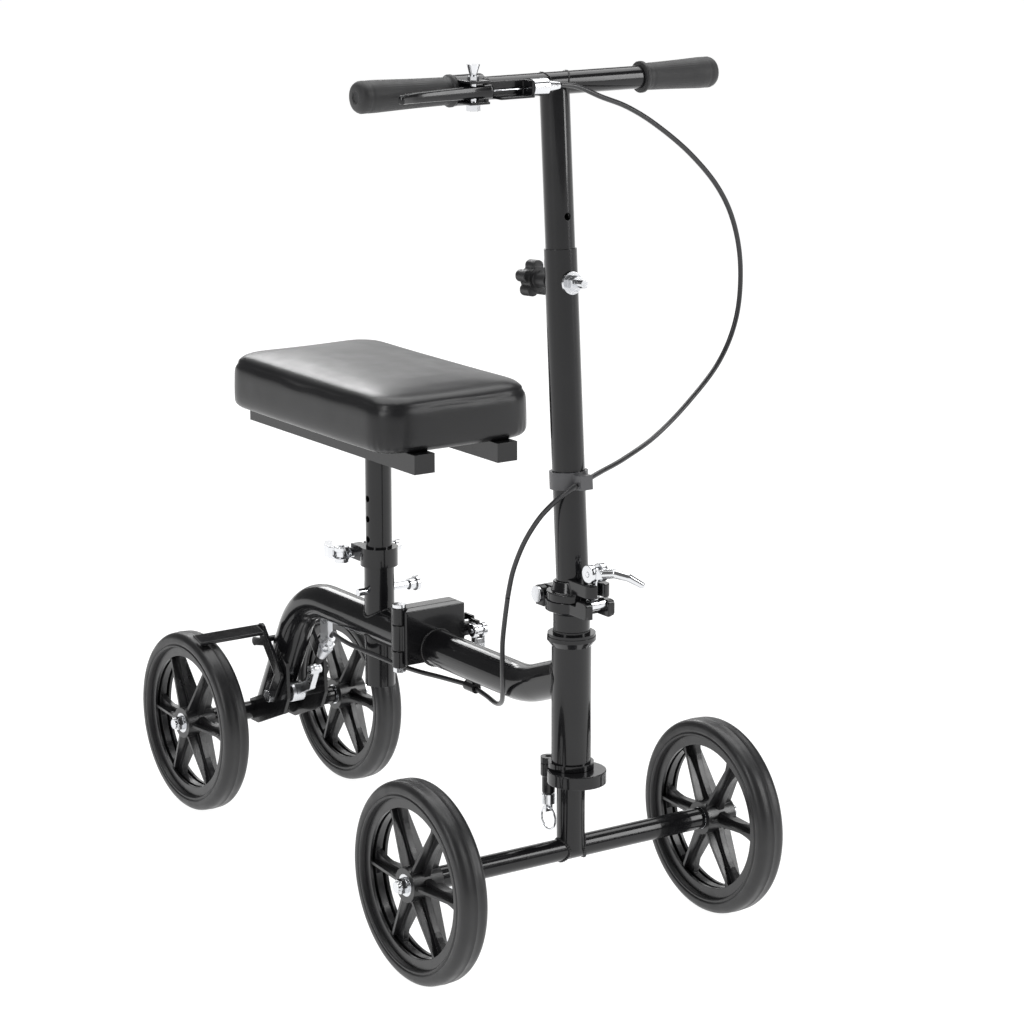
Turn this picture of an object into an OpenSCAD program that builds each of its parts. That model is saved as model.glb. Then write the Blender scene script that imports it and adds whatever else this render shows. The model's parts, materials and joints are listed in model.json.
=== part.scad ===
// Folding four-wheel knee scooter. Millimetres; +X forward, +Y to the rider's left, +Z up.
// The origin is on the ground under the middle of the wheelbase.

/* [Wheels and axles] */
// Distance between the front and rear axles
wheelbase = 584; // [560:1:680]
// Distance between the front wheel centres
front_track = 354; // [320:1:440]
// Distance between the rear wheel centres
rear_track = 197; // [190:1:240]
// Outer diameter of a wheel
wheel_d = 200; // [180:1:220]
// Width of a tyre
tyre_w = 30; // [24:1:36]
// Outer diameter of the moulded rim, where the tyre seats
rim_d = 168; // [150:1:172]
// Width of a wheel's hub
hub_w = 34; // [30:1:40]
// Outer diameter of the front axle beam
front_beam_d = 22; // [18:1:26]
// Outer diameter of the rear axle beam
rear_beam_d = 20; // [16:1:24]
// Diameter of the axle bolts
axle_bolt_d = 8; // [6:1:10]
// Outer diameter of a wheel bearing
bearing_d = 22; // [20:1:24]
// Width of a wheel bearing
bearing_w = 7; // [5:1:9]

/* [Frame] */
// Outer diameter of the main frame tube
frame_d = 38; // [34:1:42]
// Wall of the frame tube
frame_wall = 2; // [1.5:0.5:3]
// Height of the frame tube's centre line
frame_z = 249; // [240:1:262]
// Radius of the rear arch, on its centre line
arch_r = 85; // [75:1:95]
// Length of the vertical hinge barrel
hinge_h = 64; // [58:1:70]
// Diameter of the hinge bolt
hinge_bolt_d = 8; // [6:1:10]

/* [Steering] */
// Outer diameter of the head tube
head_d = 38; // [36:1:44]
// Lower end of the head tube above the ground
head_z0 = 190; // [180:1:198]
// Upper end of the flared head tube
head_z1 = 318; // [312:1:322]
// Diameter of the steerer inside the head tube
steerer_d = 25.4; // [22:0.2:28]
// Diameter of the fork stem below the head tube
stem_low_d = 28; // [26:1:32]
// Diameter of the neck above the head tube
neck_d = 36; // [32:1:40]
// Diameter of the steering lock pin
lock_pin_d = 6; // [5:1:7]

/* [Column and handlebar] */
// Outer diameter of the outer column
column_d = 31.8; // [30:0.2:36]
// Outer diameter of the height-adjusting inner stem
stem_d = 28.6; // [26:0.2:29]
// Rearward lean of the column
lean = 4; // [2:0.5:6]
// Length from the fold joint to the top of the outer column
column_top = 339; // [325:1:380]
// Length from the fold joint to the crossbar's centre
bar_h = 495; // [480:1:560]
// Diameter of the crossbar
bar_d = 22; // [20:1:24]
// Reach of the crossbar to the rider's right
bar_right = 215; // [200:1:240]
// Reach of the crossbar to the rider's left
bar_left = 182; // [180:1:220]
// Length of the right grip
grip_len = 104; // [90:1:118]
// Length of the left grip
grip_left_len = 88; // [90:1:118]
// Outer diameter of a grip at its thick end
grip_d = 30; // [27:1:34]
// Diameter of the column clamp bolt
knob_bolt_d = 8; // [6:1:10]

/* [Seat] */
// Outer diameter of the seat post
post_d = 28; // [25:1:30]
// Outer diameter of the seat socket
socket_d = 32; // [31:1:36]
// Distance from the seat post back from the middle of the wheelbase
seat_back = 60; // [50:1:70]
// Underside of the support bars above the ground
bars_z = 450; // [440:1:480]
// Length of the knee pad
pad_len = 324; // [280:1:340]
// Width of the knee pad
pad_w = 190; // [170:1:210]
// Thickness of the knee pad at its rim
pad_t = 56; // [45:1:65]
// Width of a support bar
rail_w = 24; // [20:1:28]
// Height of a support bar
rail_h = 20; // [16:1:24]
// Diameter of the seat height pin
seat_pin_d = 8; // [6:1:10]

/* [Brake] */
// Thickness of the brake arms' flat bar
arm_t = 4; // [3:0.5:5]
// Width of the brake arms' flat bar
arm_w = 14; // [12:1:18]
// Gap between a brake pad arm and its tyre at rest
brake_gap = 3.5; // [3:0.5:5]
// Outer diameter of the brake cable
cable_d = 5; // [4:0.5:6]

/* [Hidden] */
$fn = 48;
// Radial clearance of a running or sliding fit
fit = 0.05;
// Gap between faces that move past each other
gap = 0.3;
wheel_r = wheel_d / 2;
front_x = wheelbase / 2;
rear_x = -wheelbase / 2;
axle_z = wheel_r;
seat_x = -seat_back;
washer_t = 2;
front_beam_half = front_track / 2 - hub_w / 2 - washer_t;
rear_beam_half = rear_track / 2 - hub_w / 2 - washer_t;
tube_in_r = frame_d / 2 - frame_wall;

// Hinge axis, vertical, on the rider's right of the frame tube
hinge_x = 39;
hinge_y = -frame_d / 2 - 19;
hinge_z0 = frame_z - 18;
hinge_z1 = hinge_z0 + hinge_h;
knuckle_r = 7.5;
knuckle_end = 18;
plate_t = 13;
plate_y1 = frame_d / 2 + 15;
plate_z0 = hinge_z0 + 4;
plate_z1 = hinge_z1 - 3;
rear_plate_x0 = hinge_x - gap - 16;
front_plate_x0 = hinge_x + gap;
front_plate_x1 = front_plate_x0 + plate_t;
head_r = max(head_d, frame_d + 1) / 2;

// Frame latch, on the rider's left of the hinge plates
latch_y = plate_y1 + 11;
latch_z = frame_z + 14;
latch_pin_x = front_plate_x1 + 8.6;
latch_nut_x = hinge_x - 6;

// Steering
joint_z = 356;
neck_z0 = head_z1 + 6 + gap;
lock_plate_t = 13;
lock_plate_z1 = head_z0 - 6 - gap;
lock_plate_z0 = lock_plate_z1 - lock_plate_t;
lock_r = 26;
lock_angle = 203;
lock_x = front_x + lock_r * cos(lock_angle);
lock_y = lock_r * sin(lock_angle);

// Column fold joint
column_off = 2.5;
fold_x = front_x - 28;
fold_z = joint_z;
fold_pin_r = 4;
lug_r = 9;
lug_half = 12.5;
ear_t = 7;
disc_r = 26;
disc_t = 8;
qr_x = front_x + 39;
qr_z = joint_z + 32;
swing_nut_z = joint_z + 1;
prong_z0 = joint_z + 10;
prong_z1 = joint_z + 22;
cam_r = 9;

// Height bolt and slots
knob_h = 307;
stem_up = 100;
stem_down = 25;
stem_end = knob_h - stem_up - 24;
stem_hole_h = knob_h + 63;
seat_pin_z = 287;
seat_up = 70;
seat_down = 20;
socket_z0 = 183;
socket_z1 = 334;
collar_h = 20;
post_z0 = socket_z0 + seat_down + 4;
seat_bolt_x = seat_x - socket_d / 2 - 11;
seat_bolt_z = socket_z1 - collar_h / 2;
seat_cam_y = -29.6;
board_t = 10;
pad_z0 = bars_z + rail_h;
pad_x0 = seat_x - pad_len / 2;
pad_x1 = seat_x + pad_len / 2;

// Brake
brake_x = rear_x + 52;
brake_z = axle_z + 30;
sleeve_r = 7;
bracket_y = frame_d / 2 + 3;
bracket_t = 4;
arm_y = bracket_y + bracket_t + 1;
pad_tilt = 17;
pad_arm_w = 18;
pad_arm_r = wheel_r + brake_gap + arm_t / 2;
pad_arm_x = rear_x + pad_arm_r * sin(pad_tilt);
pad_arm_z = axle_z + pad_arm_r * cos(pad_tilt);
link_x = brake_x - 36;
link_z = brake_z + 54;
adjuster_x = -172;
adjuster_z = 197;
adjuster_tilt = 39;

// Brake lever, measured from the crossbar's centre
bar_x = front_x + column_off - bar_h * sin(lean);
bar_z = joint_z + bar_h * cos(lean);
lever_x = 23;
lever_y = -107;

// Rear arch: a bend down to the rear axle
arch_a = 62;
arch_leg = (frame_z - arch_r * (1 - cos(arch_a)) - axle_z) / sin(arch_a);
arch_x = rear_x + arch_leg * cos(arch_a) + arch_r * sin(arch_a);

// Front bend: the tube rises into the head tube
bend_a = 20;
bend_r = 120;
bend_leg = 59.6;
bend_x = front_x - bend_leg * cos(bend_a) - bend_r * sin(bend_a);
bend_z = frame_z + bend_r;

// Small parts: the frame latch, the lock pin's ring and the cable clip
latch_gap = 7;
latch_ear_t = 3.5;
latch_nut_r = 5;
lock_knob_z = lock_plate_z0 - 18 - 11;
ring_hole_z = lock_knob_z - 4;
ring_r = 11.5;
clip_x = 116.5;

// The cable's own route, in four stretches from the lever to the rear brake
cable_upper_pts = [[285, -11.3, 851.4], [284.5, 10, 848], [284, 37, 837], [281, 70, 825], [279, 105, 806],
    [274, 150, 775], [268, 190, 738], [264, 214, 700], [262, 225, 655], [262, 221, 605], [265, 198, 563],
    [271, 155, 527], [280, 108, 500], [294, 60, 486], [306, 24, 480], [311, 8, 477]];
cable_middle_pts = [[311, -8, 472], [306, -18, 464], [297, -25, 454], [283, -33, 436], [267, -39, 410],
    [253, -42, 380], [245, -43, 352]];
cable_lower_pts = [[245, -43, 351.5], [240, -43, 328], [233, -41, 302], [224, -35, 272], [211, -26, 248],
    [193, -15, 228], [170, -6, 219], [146, -1, 219.5], [126, 0, 222]];
cable_rear_pts = [[107.4, -1, 223], [70, -9, 223], [44, -18, 224], [10, -23, 224.5], [-30, -24.5, 225],
    [-75, -24.5, 225], [-105, -20, 224], [-128, -13, 222], [-146, -5, 219.5], [-158, -1, 213]];

black = "#1c1c1e";
rubber = "#2a2a2c";
chrome = "#c8ccd0";
alloy = "#b4b8bc";

// ---- general shapes ----

// A cylinder along X, centred on the origin
module rod_x(r, l) {
    rotate([0, 90, 0]) cylinder(r = r, h = l, center = true);
}

// A cylinder along Y, centred on the origin
module rod_y(r, l) {
    rotate([90, 0, 0]) cylinder(r = r, h = l, center = true);
}

// A tube along Z
module tube_z(ro, ri, l) {
    difference() {
        cylinder(r = ro, h = l);
        translate([0, 0, -1]) cylinder(r = ri, h = l + 2);
    }
}

// A centred box
module block(x, y, z) {
    cube([x, y, z], center = true);
}

// A flat strip of constant width along a polyline, with round corners
module strip(pts, w) {
    for (i = [0 : len(pts) - 2]) {
        d = pts[i + 1] - pts[i];
        translate(pts[i]) rotate(atan2(d[1], d[0])) translate([0, -w / 2]) square([norm(d), w]);
    }
    for (p = pts) translate(p) circle(d = w + 0.8);
}

// A rectangle with round corners, centred
module round_rect(x, y, r) {
    square([x - 2 * r, y], center = true);
    square([x, y - 2 * r], center = true);
    for (sx = [-1, 1], sy = [-1, 1]) translate([sx * (x / 2 - r), sy * (y / 2 - r)]) circle(r);
}

// A plate in the XZ plane from an outline of [x, z] points, centred on y
module plate_xz(y, t) {
    translate([0, y + t / 2, 0]) rotate([90, 0, 0]) linear_extrude(t) children();
}

// The column's own frame: Z runs up the leaning column from the fold joint
module leaned() {
    translate([front_x + column_off, 0, joint_z]) rotate([0, -lean, 0]) children();
}

// A swept tube along a list of points, as one polyhedron
function tangent(p, i) =
    let(a = p[max(i - 1, 0)], b = p[min(i + 1, len(p) - 1)]) (b - a) / norm(b - a);
function side_of(t) = let(s = cross(t, [0.31, 0.17, 0.93])) s / norm(s);
function ring_at(c, t, r, n) =
    let(u = side_of(t), v = cross(t, u)) [for (k = [0 : n - 1]) c + r * (cos(360 * k / n) * u + sin(360 * k / n) * v)];
module swept_tube(p, r, n) {
    rings = [for (i = [0 : len(p) - 1]) each ring_at(p[i], tangent(p, i), r, n)];
    m = len(p);
    sides = [for (i = [0 : m - 2], k = [0 : n - 1])
        let(a = i * n + k, b = i * n + (k + 1) % n) each [[a, b, b + n], [a, b + n, a + n]]];
    first = [for (k = [n - 1 : -1 : 0]) k];
    last = [for (k = [0 : n - 1]) (m - 1) * n + k];
    polyhedron(rings, concat(sides, [first, last]));
}

// ---- wheels ----

module at_wheel(x, y) {
    translate([x, y, axle_z]) rotate([90, 0, 0]) children();
}

module tyre() {
    shoulder = 8;
    seat = rim_d / 2;
    color(rubber) rotate_extrude($fn = 96) {
        translate([seat, -tyre_w / 2]) square([wheel_r - shoulder - seat, tyre_w]);
        translate([seat, -tyre_w / 2 + shoulder]) square([wheel_r - seat, tyre_w - 2 * shoulder]);
        for (s = [-1, 1]) translate([wheel_r - shoulder, s * (tyre_w / 2 - shoulder)]) circle(shoulder);
    }
}

// Half width of a spoke at radius r: narrow at mid length, flared at hub and rim
function spoke_half(r, ri, ro) = let(u = (r - ri) / (ro - ri)) 4.5 + 9 * pow(u, 4) + 3 * pow(1 - u, 4);

module rim() {
    seat = rim_d / 2;
    rim_in = seat - 10;
    hub_r = bearing_d / 2 + 6;
    web_t = 7;
    rib_t = 3;
    n = 10;
    radii = [for (i = [0 : n]) hub_r - 2 + (rim_in + 3 - hub_r) * i / n];
    half = [for (r = radii) spoke_half(r, radii[0], radii[n])];
    spoke = concat([for (i = [0 : n]) [radii[i], half[i]]], [for (i = [n : -1 : 0]) [radii[i], -half[i]]]);
    color(black) difference() {
        union() {
            rotate_extrude($fn = 96) {
                translate([rim_in, -tyre_w / 2 + 5]) square([seat - rim_in, 3]);
                translate([rim_in, tyre_w / 2 - 8]) square([seat - rim_in, 3]);
                translate([seat - 4, -tyre_w / 2 + 5]) square([4, tyre_w - 10]);
                translate([rim_in, -web_t / 2]) square([seat - rim_in, web_t]);
            }
            cylinder(r = hub_r, h = hub_w, center = true);
            for (k = [0 : 5]) rotate(60 * k) {
                translate([0, 0, -web_t / 2 + 0.4]) linear_extrude(web_t - 0.8) polygon(spoke);
                rotate([90, 0, 0]) linear_extrude(rib_t, center = true)
                    polygon([[hub_r - 3, -hub_w / 2 + 2], [rim_in + 1.5, -tyre_w / 2 + 6.5],
                        [rim_in + 1.5, tyre_w / 2 - 6.5], [hub_r - 3, hub_w / 2 - 2]]);
            }
        }
        cylinder(r = bearing_d / 2 - 2, h = hub_w + 2, center = true);
        for (s = [-1, 1]) translate([0, 0, s * (hub_w / 2 - (bearing_w + gap) / 2 + 0.5)])
            cylinder(r = bearing_d / 2 + fit, h = bearing_w + gap + 1, center = true);
    }
}

module bearings(x, track) {
    color(chrome) for (sy = [-1, 1], s = [-1, 1])
        translate([x, sy * track / 2 + s * (hub_w / 2 - bearing_w / 2), axle_z])
            difference() {
                rod_y(bearing_d / 2, bearing_w);
                rod_y(axle_bolt_d / 2, bearing_w + 2);
            }
}

// Axle bolts with a washer inside each wheel and a domed nut outside
module axle_bolts(x, track, beam_half) {
    nut_h = 9;
    hub_out = track / 2 + hub_w / 2;
    color(chrome) for (s = [-1, 1]) translate([x, 0, axle_z]) {
        translate([0, s * (beam_half - 12 + hub_out) / 2, 0]) rod_y(axle_bolt_d / 2, hub_out - beam_half + 12);
        translate([0, s * (beam_half + washer_t / 2), 0]) rod_y(bearing_d / 2 - 4, washer_t);
        translate([0, s * (hub_out + 0.75), 0]) rod_y(8, 1.5);
        translate([0, s * (hub_out + 1.5 + 3), 0]) rotate([90, 0, 0]) cylinder(r = 7.5, h = 6, center = true, $fn = 6);
        translate([0, s * (hub_out + 1.5 + nut_h / 2), 0]) rod_y(5.5, nut_h);
    }
}

module rear_right_tyre() { at_wheel(rear_x, -rear_track / 2) tyre(); }
module rear_right_rim() { at_wheel(rear_x, -rear_track / 2) rim(); }
module rear_left_tyre() { at_wheel(rear_x, rear_track / 2) tyre(); }
module rear_left_rim() { at_wheel(rear_x, rear_track / 2) rim(); }
module front_right_tyre() { at_wheel(front_x, -front_track / 2) tyre(); }
module front_right_rim() { at_wheel(front_x, -front_track / 2) rim(); }
module front_left_tyre() { at_wheel(front_x, front_track / 2) tyre(); }
module front_left_rim() { at_wheel(front_x, front_track / 2) rim(); }
module rear_bearings() { bearings(rear_x, rear_track); }
module front_bearings() { bearings(front_x, front_track); }
module rear_axle_bolts() { axle_bolts(rear_x, rear_track, rear_beam_half); }
module front_axle_bolts() { axle_bolts(front_x, front_track, front_beam_half); }

module axle_beam(x, d, half) {
    color(black) translate([x, 0, axle_z]) difference() {
        rod_y(d / 2, 2 * half);
        for (s = [-1, 1]) translate([0, s * (half - 6), 0]) rod_y(axle_bolt_d / 2, 12.01);
    }
}
module rear_axle_beam() { axle_beam(rear_x, rear_beam_d, rear_beam_half); }
module front_axle_beam() { axle_beam(front_x, front_beam_d, front_beam_half); }

// ---- rear frame ----

// A solid along the rear tube's centre line: straight, bend, leg
module rear_path(r, over) {
    translate([arch_x, 0, frame_z]) rotate([0, 90, 0]) cylinder(r = r, h = rear_plate_x0 - arch_x + over);
    translate([arch_x, 0, frame_z - arch_r]) rotate([90, 0, 0]) rotate(90)
        rotate_extrude(angle = arch_a, $fn = 96) translate([arch_r, 0]) circle(r);
    translate([arch_x - arch_r * sin(arch_a), 0, frame_z - arch_r * (1 - cos(arch_a))])
        rotate([0, -90 - arch_a, 0]) cylinder(r = r, h = arch_leg - 2 + over);
}

module rear_tube() {
    color(black) difference() {
        rear_path(frame_d / 2, 0);
        rear_path(tube_in_r, 1);
        translate([seat_x, 0, socket_z0 - 1]) cylinder(r = socket_d / 2, h = socket_z1);
        translate([rear_x, 0, axle_z]) rod_y(rear_beam_d / 2, frame_d * 2);
    }
}

module seat_socket() {
    slit_w = 3;
    color(black) difference() {
        translate([seat_x, 0, socket_z0]) tube_z(socket_d / 2, post_d / 2 + fit, socket_z1 - socket_z0);
        translate([seat_x - socket_d / 2, 0, socket_z1]) block(socket_d / 2, slit_w, collar_h * 2 - 4);
        translate([seat_x, 0, seat_pin_z]) rod_y(seat_pin_d / 2 + fit, socket_d * 2);
    }
}

// Vertical cylinder on the hinge axis between two heights
module on_hinge(r, z0, z1) {
    translate([hinge_x, hinge_y, z0]) cylinder(r = r, h = z1 - z0);
}

module rear_hinge_plate() {
    mid0 = hinge_z0 + knuckle_end;
    mid1 = hinge_z1 - knuckle_end;
    x1 = hinge_x - gap;
    color(black) difference() {
        union() {
            translate([rear_plate_x0, hinge_y, plate_z0])
                cube([x1 - rear_plate_x0, plate_y1 - hinge_y, plate_z1 - plate_z0]);
            on_hinge(knuckle_r, hinge_z0, mid0);
            on_hinge(knuckle_r, mid1, hinge_z1);
            // Ears that hold the latch's barrel nut
            translate([rear_plate_x0, plate_y1 - 1, latch_z - 9])
                cube([4, latch_y + latch_gap + latch_ear_t - plate_y1 + 1, 18]);
            for (y = [latch_y - latch_gap - latch_ear_t, latch_y + latch_gap])
                translate([rear_plate_x0, y, latch_z - 9]) cube([x1 - rear_plate_x0, latch_ear_t, 18]);
        }
        on_hinge(knuckle_r + 2 * gap, mid0, mid1);
        on_hinge(hinge_bolt_d / 2, hinge_z0 - 1, hinge_z1 + 1);
    }
}

module hinge_bolt() {
    color(chrome) {
        on_hinge(hinge_bolt_d / 2, hinge_z0 - 4, hinge_z1 + 2);
        on_hinge(knuckle_r - 0.5, hinge_z1, hinge_z1 + 3.5);
        translate([hinge_x, hinge_y, hinge_z0 - 5]) cylinder(r = 6.5, h = 5, $fn = 6);
    }
}

module seat_collar() {
    wall = 4;
    slit_w = 4;
    ear_w = 14;
    collar_r = socket_d / 2 + wall;
    color(black) difference() {
        union() {
            translate([seat_x, 0, socket_z1 - collar_h]) cylinder(r = collar_r, h = collar_h);
            translate([seat_bolt_x - 7, -ear_w, socket_z1 - collar_h + 2])
                cube([socket_d / 2 + 12, 2 * ear_w, collar_h - 4]);
        }
        translate([seat_x, 0, 0]) cylinder(r = socket_d / 2, h = 400);
        translate([seat_bolt_x - 10, -slit_w / 2, 0]) cube([socket_d, slit_w, 400]);
        translate([seat_bolt_x, 0, seat_bolt_z]) rod_y(3, 60);
    }
}

module seat_clamp_bolt() {
    color(chrome) translate([seat_bolt_x, 0, seat_bolt_z]) {
        translate([0, (seat_cam_y + 38) / 2, 0]) rod_y(3, 38 - seat_cam_y);
        translate([0, 25, 0]) rod_y(4.5, 22);
        translate([0, 39, 0]) rod_y(6, 6);
        translate([0, -17.5, 0]) rod_y(5.5, 7);
        translate([0, seat_cam_y, 0]) cylinder(r = 5.5, h = 6, center = true);
        translate([0, seat_cam_y, 0]) cylinder(r = 2.5, h = 19, center = true);
    }
}

// The bolts fixed to the rear frame: the fold hinge's and the seat clamp's
module frame_bolts() {
    hinge_bolt();
    seat_clamp_bolt();
}

// A cam lever around a pin along Z: outline of the arm in the XY plane
module cam_lever(pts, r, half, pin_r) {
    difference() {
        union() {
            cylinder(r = r, h = 2 * half, center = true);
            linear_extrude(1.5 * half, center = true) strip(pts, 7);
        }
        cylinder(r = pin_r + fit, h = 3 * half, center = true);
        cylinder(r = r + 2, h = 6.6, center = true);
    }
}

module seat_clamp_lever() {
    color(chrome) translate([seat_bolt_x, seat_cam_y, seat_bolt_z])
        cam_lever([[0, 0], [-13, -5], [-24, -3], [-34, 4]], 8, 8.5, 2.5);
}

module seat_height_pin() {
    tip_y = -27;
    knob_y = 36;
    color(chrome) translate([seat_x, 0, seat_pin_z]) {
        translate([0, (tip_y + knob_y + 2) / 2, 0]) rod_y(seat_pin_d / 2, knob_y + 2 - tip_y);
        translate([0, knob_y + 6, 0]) rod_y(6, 12);
        translate([0, knob_y + 10, 0]) rod_y(8, 4);
    }
}

// ---- seat ----

module seat_post() {
    color(black) difference() {
        translate([seat_x, 0, post_z0]) tube_z(post_d / 2, post_d / 2 - 2, bars_z - post_z0);
        // Long slot in place of the hidden row of holes, so that the height can change
        for (z = [seat_pin_z - seat_up, seat_pin_z + seat_down])
            translate([seat_x, 0, z]) rod_y(seat_pin_d / 2 + 0.3, post_d * 2);
        translate([seat_x, 0, seat_pin_z + (seat_down - seat_up) / 2])
            block(seat_pin_d + 0.6, post_d * 2, seat_up + seat_down);
        for (k = [0 : 2]) translate([seat_x, 0, 343 + 22 * k]) rod_y(3.5, post_d * 2);
    }
}

module seat_bracket() {
    rail_y = 50;
    rail_x0 = pad_x0 + 2;
    rail_x1 = pad_x1 + 6;
    plug = 5;
    color(black) {
        for (s = [-1, 1]) difference() {
            translate([rail_x0, s * rail_y - rail_w / 2, bars_z]) cube([rail_x1 - rail_x0, rail_w, rail_h]);
            translate([rail_x0 - 1, s * rail_y - rail_w / 2 + 2, bars_z + 2])
                cube([rail_x1 - rail_x0 - plug + 1, rail_w - 4, rail_h - 4]);
        }
        translate([seat_x - 40, -rail_y + rail_w / 2, bars_z]) cube([80, 2 * rail_y - rail_w, 6]);
        translate([seat_x, 0, bars_z - 10]) tube_z(post_d / 2 + 4, post_d / 2, 10.01);
    }
}

module pad_board() {
    color("#8a6a45") translate([seat_x, 0, pad_z0]) linear_extrude(board_t)
        round_rect(pad_len - 24, pad_w - 24, 20);
}

module knee_pad() {
    crown = 5;
    color(rubber) difference() {
        hull($fn = 32) {
            for (l = [[0, 7, 22], [8, 0, 28], [pad_t - 14, 0, 28], [pad_t - 3, 9, 24], [pad_t + crown, 60, 20]])
                translate([seat_x, 0, pad_z0 + l[0]]) linear_extrude(0.01)
                    round_rect(pad_len - 2 * l[1], pad_w - 2 * l[1], l[2]);
        }
        translate([seat_x, 0, pad_z0 - 1]) linear_extrude(board_t + 1)
            round_rect(pad_len - 24, pad_w - 24, 20);
    }
}

// ---- rear brake ----

module brake_bracket() {
    x = brake_x;
    z = brake_z;
    color(black) for (s = [-1, 1]) difference() {
        plate_xz(s * (bracket_y + bracket_t / 2), bracket_t)
            polygon([[rear_x - 4, axle_z - 12], [rear_x + 14, axle_z - 12], [x + 18, z - 18], [x + 28, z + 2],
                [x + 26, z + 42], [x + 16, z + 48], [x - 2, z + 22], [x - 28, z - 6], [rear_x - 4, axle_z + 12]]);
        translate([rear_x, 0, axle_z]) rod_y(rear_beam_d / 2, 100);
        translate([x, 0, z]) rod_y(sleeve_r + fit, 100);
    }
}

module brake_arms() {
    side = [[brake_x, brake_z], [brake_x + 16, brake_z + 27], [pad_arm_x, pad_arm_z]];
    arm_in = arm_y;
    arm_out = rear_track / 2 + tyre_w / 2 - 2;
    color(black) difference() {
        union() {
            for (s = [-1, 1]) {
                plate_xz(s * (arm_in + arm_t / 2), arm_t) {
                    strip(side, arm_w);
                    strip([[brake_x - 12, brake_z + 59], [link_x, link_z]], 9);
                }
                translate([pad_arm_x, s * (arm_in + arm_out) / 2, pad_arm_z]) rotate([0, pad_tilt, 0])
                    block(pad_arm_w, arm_out - arm_in, arm_t);
            }
            translate([link_x, 0, link_z]) rod_y(3.5, 2 * arm_in + 1);
            translate([brake_x, 0, brake_z]) rod_y(sleeve_r, 2 * arm_in + 1);
        }
        translate([brake_x, 0, brake_z]) rod_y(4, 100);
    }
}

module brake_bolts() {
    half = arm_y + arm_t;
    color(chrome) translate([brake_x, 0, brake_z]) {
        rod_y(4, 2 * half + 8);
        for (s = [-1, 1]) translate([0, s * (half + 2.5), 0]) rotate([90, 0, 0])
            cylinder(r = 7, h = 5, center = true, $fn = 6);
    }
}

module brake_actuator() {
    color(alloy) difference() {
        union() {
            translate([brake_x, 0, brake_z]) rod_y(11, 16);
            plate_xz(0, 7) strip([[brake_x, brake_z], [brake_x + 34, brake_z + 16], [brake_x + 44, brake_z + 36]], 11);
            translate([brake_x + 44, 0, brake_z + 36]) rod_y(5, 14);
        }
        translate([brake_x, 0, brake_z]) rod_y(sleeve_r, 100);
    }
}

module brake_adjuster() {
    color(alloy) difference() {
        union() {
            translate([adjuster_x, 0, adjuster_z]) rotate([0, adjuster_tilt, 0]) {
                translate([0, 0, -16]) cylinder(r1 = 5, r2 = 8, h = 16);
                cylinder(r = 5.5, h = 17);
                translate([0, 0, 3]) cylinder(r = 8, h = 5, $fn = 6);
            }
            translate([adjuster_x - 6, -3, adjuster_z - 2]) cube([16, 6, frame_z - adjuster_z]);
        }
        rear_path(frame_d / 2, 0);
    }
}

// ---- front frame ----

module front_path(r, over) {
    translate([front_plate_x1 - over, 0, frame_z]) rotate([0, 90, 0])
        cylinder(r = r, h = bend_x - front_plate_x1 + over);
    translate([bend_x, 0, bend_z]) rotate([90, 0, 0]) rotate(-90)
        rotate_extrude(angle = bend_a, $fn = 96) translate([bend_r, 0]) circle(r);
    translate([bend_x + bend_r * sin(bend_a), 0, bend_z - bend_r * cos(bend_a)])
        rotate([0, 90 - bend_a, 0]) rotate(90) cylinder(r = r, h = bend_leg);
}

module front_tube() {
    color(black) difference() {
        front_path(frame_d / 2, 0);
        front_path(tube_in_r, 1);
        translate([front_x, 0, 0]) cylinder(r = head_r + fit, h = 400);
    }
}

module head_tube() {
    flare = 4.6;
    bore_r = steerer_d / 2 + 3.6;
    color(black) translate([front_x, 0, 0]) difference() {
        union() {
            translate([0, 0, head_z0]) cylinder(r = head_r, h = head_z1 - head_z0);
            translate([0, 0, head_z1 - 10]) cylinder(r1 = head_r, r2 = head_r + flare, h = 6);
            translate([0, 0, head_z1 - 4]) cylinder(r = head_r + flare, h = 4);
        }
        translate([0, 0, head_z0 - 1]) cylinder(r = bore_r, h = head_z1);
    }
}

// Upper and lower headset cups; the lower one carries the tab of the steering lock
module headset_cups() {
    insert_r = steerer_d / 2 + 3.6;
    color(black) difference() {
        union() {
            translate([front_x, 0, head_z1]) cylinder(r = head_r + 4, h = 3);
            translate([front_x, 0, head_z1 + 2]) cylinder(r = head_r - 1, h = 4);
            translate([front_x, 0, head_z1 - 12]) cylinder(r = insert_r, h = 13);
            translate([front_x, 0, head_z0 - 1]) cylinder(r = insert_r, h = 13);
            translate([front_x, 0, head_z0 - 6]) cylinder(r = head_r + 3, h = 6);
            translate([lock_x, lock_y, head_z0 - 6]) cylinder(r = 8, h = 6);
        }
        translate([front_x, 0, 0]) cylinder(r = steerer_d / 2 + fit, h = 400);
        translate([lock_x, lock_y, head_z0 - 7]) cylinder(r = lock_pin_d / 2 + 0.3, h = 8);
    }
}

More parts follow.
